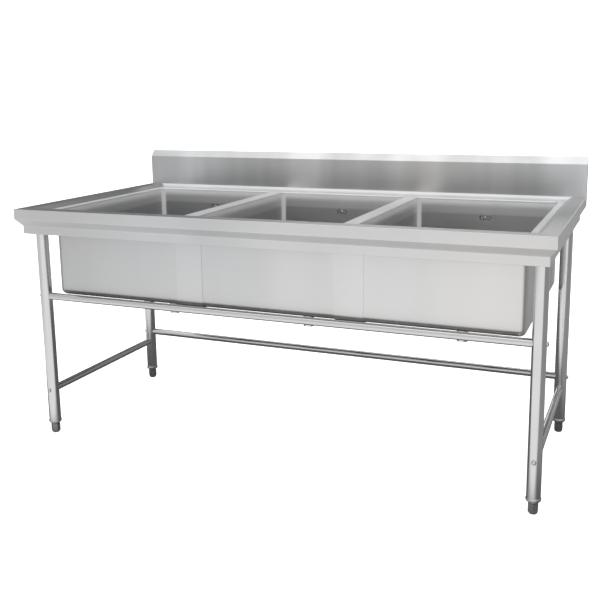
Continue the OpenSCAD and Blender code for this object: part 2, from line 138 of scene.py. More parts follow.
class Shell:
    """Collects faces given by their corner points, in millimetres, with a material index."""

    def __init__(self):
        self.bm = bmesh.new()
        self.turned = False

    def face(self, points, material=0):
        corners = []
        for point in points:
            if not corners or (Vector(point) - corners[-1]).length > SAME:
                corners.append(Vector(point))
        if (corners[0] - corners[-1]).length < SAME:
            corners.pop()
        if len(corners) > 2:
            made = self.bm.faces.new([self.bm.verts.new(c) for c in corners])
            made.material_index = material

    def strip(self, first, second, material=0, closed=False):
        """Quads between two rows; material is an index, or a function of the quad's place."""
        count = len(first)
        for i in range(count if closed else count - 1):
            j = (i + 1) % count
            index = material(i) if callable(material) else material
            self.face([first[i], first[j], second[j], second[i]], index)

    def rows(self, rows, material=0, closed=False):
        for first, second in zip(rows, rows[1:]):
            self.strip(first, second, material, closed)

    def object(self, name, smooth=32.0):
        bmesh.ops.remove_doubles(self.bm, verts=self.bm.verts, dist=MERGE)
        if not self.turned:
            bmesh.ops.recalc_face_normals(self.bm, faces=self.bm.faces)
        bmesh.ops.scale(self.bm, vec=(MM, MM, MM), verts=self.bm.verts)
        mesh = bpy.data.meshes.new(name)
        self.bm.to_mesh(mesh)
        self.bm.free()
        made = bpy.data.objects.new(name, mesh)
        bpy.context.scene.collection.objects.link(made)
        shade(made, smooth)
        return made


def shade(obj, smooth=32.0):
    """Smooth shading that keeps edges over the given angle sharp."""
    obj.data.shade_smooth()
    obj.data.set_sharp_from_angle(angle=math.radians(smooth))


def soften(obj, width, segments=2, angle=35.0):
    """A small rounding on the sharp edges."""
    bevel = obj.modifiers.new("edges", "BEVEL")
    bevel.width = width * MM
    bevel.segments = segments
    bevel.limit_method = "ANGLE"
    bevel.angle_limit = math.radians(angle)
    bevel.use_clamp_overlap = True
    flatten(obj)


def flatten(obj):
    """Normals that keep the flats flat."""
    normals = obj.modifiers.new("normals", "WEIGHTED_NORMAL")
    normals.keep_sharp = True


def thicken(obj, thickness, inner_material=0):
    """Gives a skin its sheet thickness, on the side away from its normals."""
    solid = obj.modifiers.new("sheet", "SOLIDIFY")
    solid.thickness = thickness * MM
    solid.offset = -1
    solid.use_even_offset = True
    solid.material_offset = inner_material


def flip_towards(shell, point, outward=True):
    """Turns the whole shell so that its first face looks away from (or at) a point."""
    bm = shell.bm
    shell.turned = True
    bmesh.ops.remove_doubles(bm, verts=bm.verts, dist=MERGE)
    bmesh.ops.recalc_face_normals(bm, faces=bm.faces)
    bm.faces.ensure_lookup_table()
    face = bm.faces[0]
    away = (face.calc_center_median() - Vector(point)).dot(face.normal) > 0
    if away != outward:
        bmesh.ops.reverse_faces(bm, faces=bm.faces)


def piece(obj, material, slot, body, *nodes):
    """Gives a new piece its materials and body, and hides the CAD nodes it stands for. The slot is
    not used.
    """
    for entry in material if isinstance(material, (list, tuple)) else [material]:
        obj.data.materials.append(entry)
    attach(obj, body)
    if nodes:
        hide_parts(*nodes)
    return obj


# ---- Materials ----

class Nodes:
    """A short way to write a node tree."""

    def __init__(self, tree):
        self.tree = tree

    def fill(self, node, inputs):
        """Links each input to an output, or sets it to a plain value."""
        for key, value in inputs.items():
            if isinstance(value, bpy.types.NodeSocket):
                self.tree.links.new(value, node.inputs[key])
            else:
                node.inputs[key].default_value = value

    def add(self, kind, inputs=None, **settings):
        node = self.tree.nodes.new(kind)
        for key, value in settings.items():
            setattr(node, key, value)
        self.fill(node, inputs or {})
        return node

    def position(self, scale):
        """Object coordinates, stretched."""
        where = self.add("ShaderNodeTexCoord").outputs["Object"]
        return self.add("ShaderNodeMapping", {"Vector": where, "Scale": scale}).outputs[0]

    def noise(self, scale, vector, detail=3.0, roughness=0.5):
        inputs = {"Vector": vector, "Scale": scale, "Detail": detail, "Roughness": roughness}
        return self.add("ShaderNodeTexNoise", inputs).outputs["Fac"]

    def span(self, value, low, high, start=0.0, end=1.0):
        """Maps start..end to low..high."""
        inputs = {0: value, 1: start, 2: end, 3: low, 4: high}
        return self.add("ShaderNodeMapRange", inputs).outputs[0]

    def step(self, value, start, end):
        """0 below start and 1 above end, with a smooth change between them."""
        inputs = {0: value, 1: start, 2: end, 3: 0.0, 4: 1.0}
        node = self.add("ShaderNodeMapRange", inputs, interpolation_type="SMOOTHSTEP")
        return node.outputs[0]

    def mix(self, factor, first, second):
        """Blends two colours."""
        inputs = {0: factor, 6: first, 7: second}
        return self.add("ShaderNodeMix", inputs, data_type="RGBA").outputs[2]

    def blend(self, factor, first, second):
        """Blends two numbers."""
        inputs = {0: factor, 2: first, 3: second}
        return self.add("ShaderNodeMix", inputs, data_type="FLOAT").outputs[0]

    def maths(self, operation, first, second):
        return self.add("ShaderNodeMath", {0: first, 1: second}, operation=operation).outputs[0]

    def grey(self, level):
        return self.add("ShaderNodeCombineColor", {0: level, 1: level, 2: level}).outputs[0]

    def bump(self, height, strength, distance, normal=None):
        inputs = {"Height": height, "Strength": strength, "Distance": distance}
        if normal is not None:
            inputs["Normal"] = normal
        return self.add("ShaderNodeBump", inputs).outputs[0]


def new_material(name):
    material = bpy.data.materials.new(name)
    material.use_nodes = True
    tree = material.node_tree
    tree.nodes.clear()
    nodes = Nodes(tree)
    shader = nodes.add("ShaderNodeBsdfPrincipled")
    output = nodes.add("ShaderNodeOutputMaterial")
    tree.links.new(shader.outputs[0], output.inputs[0])
    return material, nodes, shader


def grey(value, warmth=0.0):
    return (value * (1 + warmth), value, value * (1 - warmth), 1.0)


def brushed(name, tone, rough, along, blotch, patch=(4.0, 4.0, 0.6), painted_right_light=0.0, metallic=1.0):
    """Brushed stainless sheet: fine grain along one axis and soft patches.

    A sideways ramp paints the colour brighter towards the right: a painted highlight.
    """
    material, nodes, shader = new_material(name)
    stretch = {"x": (14, 1500, 1500), "y": (1500, 14, 1500)}[along]
    grain = nodes.noise(1.0, nodes.position(stretch), detail=4.0, roughness=0.6)
    streaks = nodes.noise(1.0, nodes.position(tuple(s * 0.16 for s in stretch)), detail=2.0)
    patches = nodes.noise(1.0, nodes.position(patch), detail=2.0, roughness=0.45)
    hue = nodes.noise(0.9, nodes.position((1.3, 1.3, 0.9)), detail=1.0)
    tint = nodes.mix(nodes.span(hue, 0.0, 1.0, 0.35, 0.65), grey(0.97, -0.012), grey(0.97, 0.012))
    cloud = nodes.span(patches, tone * (1 - blotch), tone * (1 + blotch), 0.3, 0.7)
    level = nodes.maths("MULTIPLY", cloud, nodes.span(grain, 0.985, 1.015, 0.3, 0.7))
    # Painted highlight: the colour is made brighter towards the right.
    if painted_right_light:
        across = nodes.add("ShaderNodeSeparateXYZ", {0: nodes.position((1, 1, 1))}).outputs[0]
        painted_right_ramp = nodes.span(across, 1 - 0.9 * painted_right_light, 1 + 0.9 * painted_right_light, -0.9, 0.9)
        level = nodes.maths("MULTIPLY", level, painted_right_ramp)
    colour = nodes.add("ShaderNodeVectorMath", {0: tint, "Scale": level}, operation="SCALE")
    wave = nodes.noise(1.0, nodes.position((5.5, 5.5, 5.5)), detail=1.0)
    nodes.fill(shader, {
        "Base Color": colour.outputs[0],
        "Roughness": nodes.span(streaks, rough * 0.95, rough * 1.05, 0.3, 0.7),
        "Normal": nodes.bump(grain, 0.03, 0.0002, nodes.bump(wave, 0.2, 0.004)),
        "Metallic": metallic,
    })
    return material


def painted_highlight_satin(name, tone, rough):
    """A near-white, barely metallic satin that paints the bright highlight on a bowl's round
    corners.
    """
    material, nodes, shader = new_material(name)
    cloud = nodes.noise(30.0, nodes.position((1, 1, 0.3)), detail=2.0)
    level = nodes.span(cloud, tone * 0.96, tone * 1.02, 0.3, 0.7)
    nodes.fill(shader, {"Base Color": nodes.grey(level), "Roughness": rough, "Metallic": 0.1})
    return material


def paint_top_highlight(material, steps):
    """Paints a bowl's wall brighter and duller towards its top edge: a painted highlight, as if
    the wall caught light from above.
    """
    nodes = Nodes(material.node_tree)
    shader = next(n for n in nodes.tree.nodes if n.bl_idname == "ShaderNodeBsdfPrincipled")
    place = nodes.add("ShaderNodeTexCoord").outputs["Object"]
    height = nodes.add("ShaderNodeSeparateXYZ", {0: place}).outputs[2]
    colour = shader.inputs["Base Color"].links[0].from_socket
    # Painted highlight: the colour steps lighter and the metal duller towards the top of the wall.
    for low, high, tone in steps:
        colour = nodes.mix(nodes.step(height, low * MM, high * MM), colour, grey(tone))
    highlight_band = nodes.step(height, (DECK_Z - 34) * MM, (DECK_Z - 8) * MM)
    nodes.fill(shader, {"Base Color": colour, "Metallic": nodes.blend(highlight_band, 1.0, 0.15)})


def polished(name, tone, rough, along="z"):
    """Smooth metal with faint drawing lines and smudges."""
    material, nodes, shader = new_material(name)
    stretch = {"x": (3, 900, 900), "y": (900, 3, 900), "z": (900, 900, 3)}[along]
    lines = nodes.noise(1.0, nodes.position(stretch), detail=2.0)
    smudge = nodes.noise(9.0, nodes.position((1, 1, 1)), detail=3.0)
    nodes.fill(shader, {
        "Base Color": nodes.grey(nodes.span(smudge, tone * 0.98, tone * 1.02, 0.3, 0.7)),
        "Roughness": nodes.span(lines, rough * 0.8, rough * 1.25, 0.3, 0.7),
        "Normal": nodes.bump(lines, 0.02, 0.0002),
        "Metallic": 1.0,
    })
    return material


def moulded(name, colour, rough):
    """Moulded plastic or rubber with a faint texture."""
    material, nodes, shader = new_material(name)
    fine = nodes.noise(900.0, nodes.position((1, 1, 1)), detail=2.0)
    broad = nodes.noise(25.0, nodes.position((1, 1, 1)), detail=2.0)
    darker = tuple(c * 0.88 for c in colour[:3]) + (1.0,)
    nodes.fill(shader, {
        "Base Color": nodes.mix(nodes.span(broad, 0.0, 1.0, 0.3, 0.7), darker, colour),
        "Roughness": nodes.span(fine, rough * 0.9, rough * 1.1, 0.3, 0.7),
        "Normal": nodes.bump(fine, 0.15, 0.0003),
    })
    return material


SHEET_X = brushed("sheet_grain_x", 0.64, 0.34, "x", blotch=0.05)
SHEET_Y = brushed("sheet_grain_y", 0.62, 0.30, "y", blotch=0.05, patch=(4.0, 3.0, 4.0))
# The deck is the top's own sheet, painted lighter and less metallic so that it looks lit from
# above: painted light.
DECK = brushed("deck_grain_and_painted_light", 0.84, 0.48, "y", blotch=0.04, metallic=0.62)
# The backsplash's strong upright patches are partly random tone and partly painted reflection: the
# soft vertical reflections of brushed steel. It is also painted brighter towards the right.
SPLASH = brushed("backsplash_sheet", 0.60, 0.30, "x", blotch=0.17, patch=(6.0, 6.0, 0.4),
                 painted_right_light=0.14)
# Painted highlight: the bowl fronts and covers are made brighter towards the right.
BOWL_OUT = brushed("bowl_outside", 0.65, 0.40, "x", blotch=0.05, painted_right_light=0.08)
COVER = brushed("cover_sheet", 0.67, 0.40, "x", blotch=0.04, painted_right_light=0.06)
BOWL_IN = brushed("bowl_inside", 0.62, 0.36, "x", blotch=0.06, patch=(3.0, 3.0, 2.0))
paint_top_highlight(BOWL_IN, [(DECK_Z - 62, DECK_Z - 50, 0.78), (DECK_Z - 40, DECK_Z - 8, 0.94)])
FRAME = brushed("frame_sheet", 0.45, 0.40, "x", blotch=0.05)
# Painted highlight for the middle of each round inside corner of a bowl.
CORNER = painted_highlight_satin("bowl_corner_painted_highlight", 0.94, 0.45)
TUBE_Z = polished("tube_upright", 0.63, 0.17, along="z")
TUBE_X = polished("tube_across", 0.60, 0.18, along="x")
TUBE_Y = polished("tube_deep", 0.62, 0.18, along="y")
FASTENER = polished("fastener", 0.55, 0.22)
FOOT = polished("foot_metal", 0.34, 0.34)
COLLAR = polished("foot_collar", 0.52, 0.22)
SOCKET = polished("socket_metal", 0.48, 0.3)
DRAIN = polished("drain_polished", 0.66, 0.14)
PLASTIC = moulded("overflow_plastic", (0.045, 0.045, 0.047, 1.0), 0.45)
RUBBER = moulded("gasket_rubber", (0.03, 0.03, 0.032, 1.0), 0.7)


# ---- Top ----

def cove_depth(z):
    """Distance of the cove's surface from the backsplash at a height."""
    rise = COVE_RADIUS - min(max(z - DECK_Z, 0.0), COVE_RADIUS)
    return COVE_RADIUS - math.sqrt(max(COVE_RADIUS ** 2 - rise ** 2, 0.0))


def bowl_frame(side):
    """Middle and inside size of a bowl: x, y, width, depth."""
    low, high = box_mm(f"bowl_{side}")
    middle = (low + high) / 2
    return middle.x, middle.y, high.x - low.x - 2 * SHEET, high.y - low.y - 2 * SHEET


BOWLS = {side: bowl_frame(side) for side in SIDES}
DIVIDERS = [
    (BOWLS["left"][0] + BOWLS["middle"][0]) / 2,
    (BOWLS["middle"][0] + BOWLS["right"][0]) / 2,
]
FOLD_Z = DECK_Z - OPENING_FOLD - 3.0  # where the top's opening meets a bowl's wall
WIDE, DEEP, FLAT = 0, 1, 2  # materials of the top: grain across, grain from front to back, deck


def top_sections():
    """The apron and rim section, and the slope section, as (distance in, height)."""
    top, face = TOP_HIGH.z, TOP_HIGH.z - FACE
    under, foot = face - UNDERCUT_HEIGHT, TOP_LOW.z
    slope_x, slope_z = RIM_WIDTH + SLOPE_RUN, DECK_Z
    points = [
        (UNDERCUT_IN + HEM, foot), (UNDERCUT_IN, foot), (UNDERCUT_IN, under), (0, face),
        (0, top), (RIM_WIDTH, top), (slope_x, slope_z), (slope_x + 30, slope_z),
    ]
    fold_radii = [1.3, 3.0, 3.0, 2.6, 5.0, 6.0]
    path = rounded(points, fold_radii, steps=6)
    path.pop()  # the last point only gives the deck's direction
    rim = max(i for i, p in enumerate(path) if abs(p.y - top) < 1e-6)
    slope = [path[rim]]
    for a, b in zip(path[rim:], path[rim + 1:]):
        parts = 6 if (b - a).length > 8 else 1
        slope += [a.lerp(b, k / parts) for k in range(1, parts + 1)]
    return path[:rim + 1], slope


def top_stations(d, z, rear):
    """The points of the U-shaped sweep at a distance in from the apron: back, round, back."""
    left, right, front = -HALF_WIDTH + d, HALF_WIDTH - d, TOP_LOW.y + d
    return [
        (left, rear, z), (left, front, z), (DIVIDERS[0], front, z),
        (DIVIDERS[1], front, z), (right, front, z), (right, rear, z),
    ]


def add_deck_cell(shell, low, high, bowl):
    """Flat deck round one opening, and the fold that leads down into the bowl."""
    x, y, width, depth = bowl
    fold_steps = 6
    rows = []
    for i in range(fold_steps + 1):
        angle = math.pi / 2 * i / fold_steps
        grow = OPENING_FOLD * (1 - math.sin(angle))
        z = DECK_Z - OPENING_FOLD * (1 - math.cos(angle))
        ring = rounded_rect(x, y, width + 2 * grow, depth + 2 * grow, BOWL_RADIUS + grow)
        rows.append([(px, py, z) for px, py in ring])
    rows.append([(px, py, FOLD_Z) for px, py, _ in rows[-1]])
    shell.rows(rows, FLAT, closed=True)
    outer = rows[0]
    corners = [(high[0], high[1]), (low[0], high[1]), (low[0], low[1]), (high[0], low[1])]
    per = CORNER_STEPS + 1
    for quarter, corner in enumerate(corners):
        arc = outer[quarter * per:(quarter + 1) * per]
        for a, b in zip(arc, arc[1:]):
            shell.face([(*corner, DECK_Z), b, a], FLAT)
        following = (quarter + 1) % 4
        start = outer[following * per]
        shell.face([(*corner, DECK_Z), (*corners[following], DECK_Z), start, arc[-1]], FLAT)


def make_top():
    """One shell: apron, rim and slope round three sides, cove at the back, deck and openings."""
    shell = Shell()
    apron, slope = top_sections()
    rear = TOP_HIGH.y - 0.1
    rows = [top_stations(p.x, p.y, rear) for p in apron[:-1]]
    rows += [top_stations(p.x, p.y, SPLASH_Y - cove_depth(p.y)) for p in [apron[-1]] + slope[1:]]
    shell.rows(rows, lambda station: DEEP if station in (0, 4) else WIDE)
    back = []
    for p in slope:
        y = SPLASH_Y - cove_depth(p.y)
        xs = [-HALF_WIDTH + p.x, *DIVIDERS, HALF_WIDTH - p.x]
        back.append([(x, y, p.y) for x in xs])
    shell.rows(back, FLAT)
    front_y, back_y = TOP_LOW.y + slope[-1].x, SPLASH_Y - cove_depth(DECK_Z)
    for side, x0, x1 in zip(SIDES, xs, xs[1:]):
        add_deck_cell(shell, (x0, front_y), (x1, back_y), BOWLS[side])
    flip_towards(shell, (0, 0, 1200))
    obj = shell.object("top_shell")
    thicken(obj, SHEET)
    soften(obj, 0.4)
    return piece(obj, [SHEET_X, SHEET_Y, DECK], "sheet_steel", ROOT, "sink_top")


# ---- Backsplash ----

def make_backsplash():
    """One folded sheet: front, sloping top, back and the hem under it."""
    shell = Shell()
    top = SPLASH_HIGH.z
    points = [
        (SPLASH_Y, TOP_HIGH.z - 1.0), (SPLASH_Y, top - SPLASH_SLOPE), (SPLASH_HIGH.y, top),
        (SPLASH_HIGH.y, SPLASH_LOW.z), (SPLASH_LOW.y + 10, SPLASH_LOW.z),
    ]
    fold_radii = [2.5, 1.6, 1.3]
    section = rounded(points, fold_radii, steps=5)
    reach = SPLASH_HIGH.x
    narrow = HALF_WIDTH - UNDERCUT_IN - HEM
    rows = []
    for p in section:
        half = reach
        if p.y < TOP_HIGH.z - FACE:
            drop = min((TOP_HIGH.z - FACE - p.y) / UNDERCUT_HEIGHT, 1.0)
            half = reach + (narrow - reach) * drop
        rows.append([(-half, p.x, p.y), (half, p.x, p.y)])
    shell.rows(rows)
    flip_towards(shell, (0, SPLASH_Y + 12, top - 60))
    obj = shell.object("backsplash_shell")
    thicken(obj, SHEET)
    soften(obj, 0.3)
    return piece(obj, SPLASH, "sheet_steel", ROOT, "backsplash")


# ---- Bowls ----

def make_bowl(side):
    """Pressed bowl: straight walls, round corners, a floor that falls to the drain."""
    shell = Shell()
    x, y, width, depth = BOWLS[side]
    low, _ = box_mm(f"bowl_{side}")
    floor = low.z + SHEET + BOWL_FALL
    radius = BOWL_RADIUS
    bend, bend_steps = floor + radius, 10
    inside, corner_highlight = 0, 2
    rows = []
    for z in (FOLD_Z - 0.3, (FOLD_Z + bend) / 2, bend):
        ring = rounded_rect(x, y, width, depth, radius)
        rows.append([(px, py, z) for px, py in ring])

    # The middle of each round corner gets the painted highlight; the rest keeps the inside finish.
    def wall_or_highlight(i):
        place = i % (CORNER_STEPS + 1)
        return corner_highlight if 1 < place < CORNER_STEPS - 2 else inside

    shell.rows(rows, wall_or_highlight, closed=True)
    rows = rows[-1:]
    for i in range(1, bend_steps + 1):
        angle = math.pi / 2 * i / bend_steps
        grow = radius * (1 - math.cos(angle))
        ring = rounded_rect(x, y, width - 2 * grow, depth - 2 * grow, max(radius - grow, 0.0))
        rows.append([(px, py, bend - radius * math.sin(angle)) for px, py in ring])
    shell.rows(rows, closed=True)
    add_bowl_floor(shell, x, y, width / 2 - radius, depth / 2 - radius, floor)
    flip_towards(shell, (x, y, floor + 100), outward=False)
    obj = shell.object(f"bowl_{side}_shell", smooth=50.0)
    thicken(obj, SHEET, inner_material=1)
    flatten(obj)
    finishes = [BOWL_IN, BOWL_OUT, CORNER, BOWL_OUT]
    return piece(obj, finishes, "sheet_steel", ROOT, f"bowl_{side}")


def add_bowl_floor(shell, x, y, half_x, half_y, floor):
    """Four shallow facets from a rectangle in to the seat of the drain, and the seat."""
    per_side, rings = 12, 8
    seat, hole = 60.0, 45.0
    square = []
    corners = [(1, 1), (-1, 1), (-1, -1), (1, -1)]
    for a, b in zip(corners, corners[1:] + corners[:1]):
        for i in range(per_side):
            t = i / per_side
            square.append((a[0] + (b[0] - a[0]) * t, a[1] + (b[1] - a[1]) * t))
    rows = []
    for k in range(rings + 1):
        s = k / rings
        row = []
        for u, v in square:
            angle = math.atan2(v, u)
            px = x + half_x * u * (1 - s) + seat * math.cos(angle) * s
            py = y + half_y * v * (1 - s) + seat * math.sin(angle) * s
            row.append((px, py, floor - BOWL_FALL * s))
        rows.append(row)
    inward = hole / seat
    rows.append([(x + (px - x) * inward, y + (py - y) * inward, pz) for px, py, pz in rows[-1]])
    shell.rows(rows, closed=True)


# ---- Tubes ----

def tube(name, start, end, radius, cope=0.0, around=48):
    """A round tube. A cope shapes both ends to lie against upright tubes of that radius."""
    shell = Shell()
    start, end = Vector(start), Vector(end)
    run = (end - start).normalized()
    up = Vector((0, 0, 1)) if abs(run.z) < 0.5 else Vector((1, 0, 0))
    side = up.cross(run).normalized()
    up = run.cross(side)
    rows = [[], [], [], []]
    for angle in circle(around):
        for j, r in enumerate((radius, radius - TUBE_WALL)):
            across = side * (r * math.cos(angle)) + up * (r * math.sin(angle))
            pull = math.sqrt(max(cope ** 2 - (r * math.cos(angle)) ** 2, 0.0)) if cope else 0.0
            rows[j].append(start + across + run * pull)
            rows[3 - j].append(end + across - run * pull)
    shell.rows(rows + rows[:1], closed=True)
    obj = shell.object(name, smooth=40.0)
    flatten(obj)
    return obj


def make_legs():
    for corner in CORNERS:
        node = f"leg_{corner}"
        low, high = box_mm(node)
        centre = (low + high) / 2
        ends = (centre.x, centre.y, low.z), (centre.x, centre.y, high.z)
        obj = tube(f"{node}_tube", *ends, LEG_RADIUS)
        piece(obj, TUBE_Z, "tube_steel", ROOT, node)


def make_rails():
    xs = [middle("leg_front_left").x, middle("leg_front_right").x]
    ys = [middle("leg_front_left").y, middle("leg_rear_left").y]
    for node in ("front_rail", "rear_rail"):
        at = middle(node)
        obj = tube(f"{node}_tube", (xs[0], at.y, at.z), (xs[1], at.y, at.z),
                   RAIL_RADIUS, cope=LEG_RADIUS)
        piece(obj, TUBE_X, "tube_steel", ROOT, node)
    for node in ("left_rail", "right_rail"):
        at = middle(node)
        obj = tube(f"{node}_tube", (at.x, ys[0], at.z), (at.x, ys[1], at.z),
                   RAIL_RADIUS, cope=LEG_RADIUS)
        piece(obj, TUBE_Y, "tube_steel", ROOT, node)


# ---- Turned pieces ----

def lathe(shell, section, x, y, around=64):
    """Turns a closed (radius, height) section about an upright axis."""
    rows = []
    for r, z in section:
        rows.append([(x + r * math.cos(a), y + r * math.sin(a), z) for a in circle(around)])
    shell.rows(rows, closed=True)


def make_foot(corner):
    """Adjustable foot: chamfered six-sided body, neck and threaded stem."""
    node = f"foot_{corner}"
    low, high = box_mm(node)
    x, y = (low.x + high.x) / 2, (low.y + high.y) / 2
    hex_r, hex_top, tip_r, neck_top = 16.2, 33.0, 10.5, 39.5
    chamfers = [  # height, and the radius that the six-sided body is cut to there
        (0.0, tip_r), (0.8, tip_r + 1.0), (5.5, 14.6), (8.0, 16.4),
        (hex_top - 2.2, 16.4), (hex_top - 0.6, 15.2), (hex_top, 14.4),
    ]
    shell = Shell()
    rows = []
    for z, limit in chamfers:
        row = []
        for angle in circle(72):
            r = min(six_sided(hex_r, angle), limit)
            turn = angle + math.pi / 2
            row.append((x + r * math.cos(turn), y + r * math.sin(turn), z))
        rows.append(row)
    shell.rows(rows, closed=True)
    shell.face(list(reversed(rows[0])))
    shell.face(rows[-1])
    neck = [(0.1, hex_top), (12.5, hex_top), (12.9, 34.2), (15.0, 34.8), (15.5, 35.6),
            (15.5, 38.6), (15.0, neck_top), (0.1, neck_top)]
    lathe(shell, neck, x, y)
    obj = shell.object(f"{node}_body", smooth=28.0)
    soften(obj, 0.3)
    piece(obj, FOOT, "foot_steel", node, node)
    stem = thread(f"{node}_stem", (x, y), neck_top, high.z, radius=6.0, pitch=1.75)
    piece(stem, FASTENER, "foot_steel", node)


def thread(name, centre, low, high, radius, pitch, depth=0.9, around=32):
    """A screw thread as one helical surface."""
    shell = Shell()
    steps_per_turn = 6
    count = int((high - low) / pitch * steps_per_turn)
    rows = []
    for k in range(count + 1):
        z = low + (high - low) * k / count
        row = []
        for i, angle in enumerate(circle(around)):
            phase = (z / pitch - i / around) % 1.0
            r = radius - depth * abs(2 * phase - 1)
            row.append((centre[0] + r * math.cos(angle), centre[1] + r * math.sin(angle), z))
        rows.append(row)
    shell.rows(rows, closed=True)
    shell.face(list(reversed(rows[0])))
    shell.face(rows[-1])
    return shell.object(name, smooth=60.0)


def make_foot_insert(corner):
    """Beaded collar under the leg, with its plug and bore."""
    node = f"foot_insert_{corner}"
    low, high = box_mm(node)
    x, y = (low.x + high.x) / 2, (low.y + high.y) / 2
    plug, bore = LEG_RADIUS - TUBE_WALL - 0.05, 6.05
    bead_out, bead_rise, bead_z, shoulder = 2.0, 4.6, 46.0, 52.0
    section = [(bore, low.z), (LEG_RADIUS - 0.7, low.z), (LEG_RADIUS - 0.1, low.z + 0.6)]
    for i in range(13):
        angle = math.pi * (i / 12 - 0.5)
        out, up = bead_out * math.cos(angle), bead_rise * math.sin(angle)
        section.append((LEG_RADIUS - 0.05 + out, bead_z + up))
    section += [
        (LEG_RADIUS - 0.1, shoulder - 0.5), (LEG_RADIUS - 0.5, shoulder), (plug, shoulder + 0.05),
        (plug, high.z), (bore, high.z), (bore, low.z),
    ]
    shell = Shell()
    lathe(shell, section, x, y)
    obj = shell.object(f"{node}_collar", smooth=40.0)
    flatten(obj)
    piece(obj, COLLAR, "foot_steel", ROOT, node)


def pierced(shell, point_at, stations, holes, sectors=20):
    """Cells between stations, all the way round, each with a round hole of the given radius."""
    for near, far, hole in zip(stations, stations[1:], holes):
        for i in range(sectors):
            a0, a1 = (2 * math.pi * (i + k) / sectors for k in (0, 1))
            mid_a, mid = (a0 + a1) / 2, (near + far) / 2
            edge = [(a0, near), (mid_a, near), (a1, near), (a1, mid),
                    (a1, far), (mid_a, far), (a0, far), (a0, mid)]
            outer = [point_at(a, v) for a, v in edge]
            centre = point_at(mid_a, mid)
            across = (outer[3] - outer[7]).normalized() * hole
            along = (outer[5] - outer[1]).normalized() * hole
            inner = []
            for k in range(16):
                turn = math.radians(-135 + 22.5 * k)
                inner.append(centre + across * math.cos(turn) + along * math.sin(turn))
            for k in range(8):
                j = (k + 1) % 8
                shell.face([outer[k], outer[j], inner[2 * j], inner[2 * k + 1], inner[2 * k]])


def make_strainer(side):
    """Lift-out basket: pierced floor and wall, rolled rim, post and turned knob."""
    node = f"basket_{side}"
    low, high = box_mm(node)
    x, y = (low.x + high.x) / 2, (low.y + high.y) / 2
    plate = 0.9
    base, rim, knob, wall = low.z + 0.5, high.z - 7.0, high.z, 37.5
    floor_edge, wall_start, top = 32.5, base + 4.8, base + 23.4
    shell = Shell()

    def on_floor(angle, r):
        return Vector((x + r * math.cos(angle), y + r * math.sin(angle), base))

    def on_wall(angle, z):
        return Vector((x + wall * math.cos(angle), y + wall * math.sin(angle), z))

    pierced(shell, on_floor, [8.5, 15.0, 23.0, floor_edge], [1.3, 2.0, 2.9])
    bend = []
    for r, z in ((floor_edge, base), (35.2, base + 0.6), (36.9, base + 2.2), (wall, wall_start)):
        bend.append([(x + r * math.cos(a), y + r * math.sin(a), z) for a in circle(40)])
    shell.rows(bend, closed=True)
    pierced(shell, on_wall, [wall_start, base + 14.0, top], [3.0, 3.0])
    obj = shell.object(f"{node}_strainer", smooth=40.0)
    thicken(obj, plate)
    piece(obj, DRAIN, "drain_metal", node, node)
    turned = Shell()
    ring = [
        (wall - plate, top), (wall, top), (wall + 0.2, rim - 2.2), (40.0, rim - 0.9),
        (45.6, rim - 1.0), (46.8, rim - 0.6), (47.0, rim), (46.4, rim + 0.5), (44.0, rim + 0.4),
        (38.6, rim + 0.2), (wall - plate, rim - 1.9), (wall - plate, top),
    ]
    lathe(turned, ring, x, y)
    post = [
        (0.05, base - 0.4), (8.6, base - 0.4), (8.6, base + 0.6), (3.6, base + 0.8),
        (3.0, base + 2.0), (3.0, knob - 9.0), (4.4, knob - 7.4), (7.6, knob - 6.6),
        (8.8, knob - 5.2), (9.0, knob - 3.4), (8.4, knob - 1.8), (6.6, knob - 0.7),
        (3.6, knob - 0.15), (0.05, knob),
    ]
    lathe(turned, post, x, y)
    fitted = turned.object(f"{node}_rim_and_knob", smooth=42.0)
    flatten(fitted)
    piece(fitted, DRAIN, "drain_metal", node)


def make_drain(side):
    """Drain body: dished flange, cup, socket for the tailpiece, and spigot to the overflow."""
    node = f"drain_body_{side}"
    low, high = box_mm(node)
    x, y = (low.x + high.x) / 2, BOWLS[side][1]
    foot, top = low.z, high.z
    cup, cup_r, bore = top - 40.0, 43.0, 41.5
    section = [
        (55.9, top - 1.8), (56.0, top - 0.9), (55.4, top - 0.2), (54.2, top),
        (50.0, top - 0.5), (46.5, top - 0.7), (44.0, top - 1.4), (42.2, top - 3.0),
        (bore, top - 6.0), (bore, cup + 5.0), (40.0, cup + 2.6), (20.5, cup + 1.6),
        (18.2, cup + 0.6), (17.5, cup - 2.0), (17.5, foot + 19.4), (19.1, foot + 19.4),
        (19.1, foot), (22.8, foot), (23.9, foot + 1.0), (24.0, foot + 14.0), (24.0, foot + 28.0),
        (24.4, cup - 3.6), (26.0, cup - 1.6), (40.6, cup - 0.2), (42.4, cup + 1.4),
        (cup_r, cup + 4.0), (cup_r, top - 2.4), (43.4, top - 1.8), (55.9, top - 1.8),
    ]
    shell = Shell()
    lathe(shell, section, x, y, around=96)
    obj = shell.object(f"{node}_cup", smooth=38.0)
    flatten(obj)
    piece(obj, DRAIN, "drain_metal", ROOT, node)
    spout = Shell()
    axis_z, reach, hole, outside = cup + 12.0, high.y - y, 6.0, 8.0
    rows = []
    for r, d in ((hole, 41.8), (hole, reach), (7.6, reach), (outside, reach - 0.5),
                 (outside, 42.4), (hole, 41.8)):
        rows.append([(x + r * math.cos(a), y + d, axis_z + r * math.sin(a)) for a in circle(32)])
    spout.rows(rows, closed=True)
    made = spout.object(f"{node}_spigot", smooth=40.0)
    piece(made, DRAIN, "drain_metal", ROOT)


